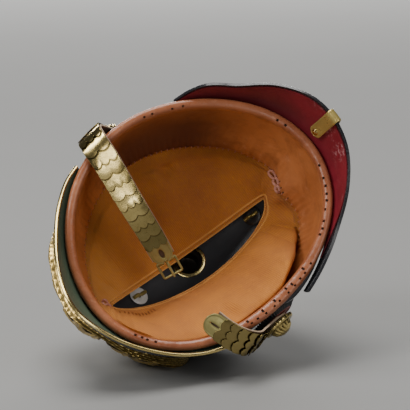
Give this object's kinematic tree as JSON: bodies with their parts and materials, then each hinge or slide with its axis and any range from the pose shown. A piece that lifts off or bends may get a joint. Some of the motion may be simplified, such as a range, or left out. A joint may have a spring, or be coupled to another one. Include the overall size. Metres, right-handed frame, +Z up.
{
  "type": "pickelhaube",
  "caption": "Spiked leather helmet lying on its crown, open side to the viewer, with cloth lining, visors, brass front plate, spike and unfastened chin scales.",
  "frame": {"origin": "bottom middle of the part's box, on the surface it lies on", "axes": "+Z up from the surface, +Y away from the open side that faces the viewer, +X to the viewer's right"},
  "size_m": [0.2208, 0.2594, 0.2032],
  "materials": {
    "black_leather": "gloss",
    "tan_leather": "satin",
    "cloth": "matte",
    "green_leather": "satin",
    "red_leather": "satin",
    "brass": "polished",
    "white_metal": "satin",
    "cockade_paint": "satin",
    "strap_leather": "matte"
  },
  "bodies": {
    "helmet": {"skull": "black_leather", "sweatband": "tan_leather", "lining": "cloth", "front_visor": "black_leather", "front_visor_lining": "green_leather", "front_visor_trim": "brass", "rear_visor": "black_leather", "rear_visor_lining": "red_leather", "rear_spine": "brass", "rear_spine_rivet": "brass", "vent_ring": "brass", "spike_base": "brass", "pearl_ring": "brass", "spike": "brass", "stud_front": "brass", "stud_left": "brass", "stud_rear": "brass", "stud_right": "brass", "stud_washer_front": "white_metal", "stud_washer_left": "white_metal", "stud_washer_rear": "white_metal", "stud_washer_right": "white_metal", "front_plate": "brass", "cockade_left": "cockade_paint", "cockade_right": "cockade_paint", "rosette_left": "brass", "rosette_right": "brass", "strap_left": "strap_leather", "strap_right": "strap_leather", "scale_left_01": "brass", "scale_left_02": "brass", "scale_left_03": "brass", "scale_left_04": "brass", "scale_left_05": "brass", "scale_left_06": "brass", "scale_left_07": "brass", "scale_left_08": "brass", "scale_left_09": "brass", "scale_left_10": "brass", "scale_left_11": "brass", "scale_left_12": "brass", "scale_right_01": "brass", "scale_right_02": "brass", "scale_right_03": "brass", "scale_right_04": "brass", "scale_right_05": "brass", "scale_right_06": "brass", "scale_right_07": "brass", "end_plate_left": "brass", "end_plate_right": "brass", "buckle_loop": "brass"},
    "buckle": {"buckle_frame": "brass"},
    "prong": {"buckle_prong": "brass"}
  },
  "joints": [
    {"name": "buckle_swing", "type": "hinge", "parent": "helmet", "child": "buckle", "pos_m": [-0.02267, -0.02753, 0.07099], "axis": [-0.8818, 0.0122, -0.4715], "range_deg": [-70, 40]},
    {"name": "prong_swing", "type": "hinge", "parent": "buckle", "child": "prong", "pos_m": [-0.02267, -0.02753, 0.07099], "axis": [-0.8818, 0.0122, -0.4715], "range_deg": [0, 40]}
  ]
}
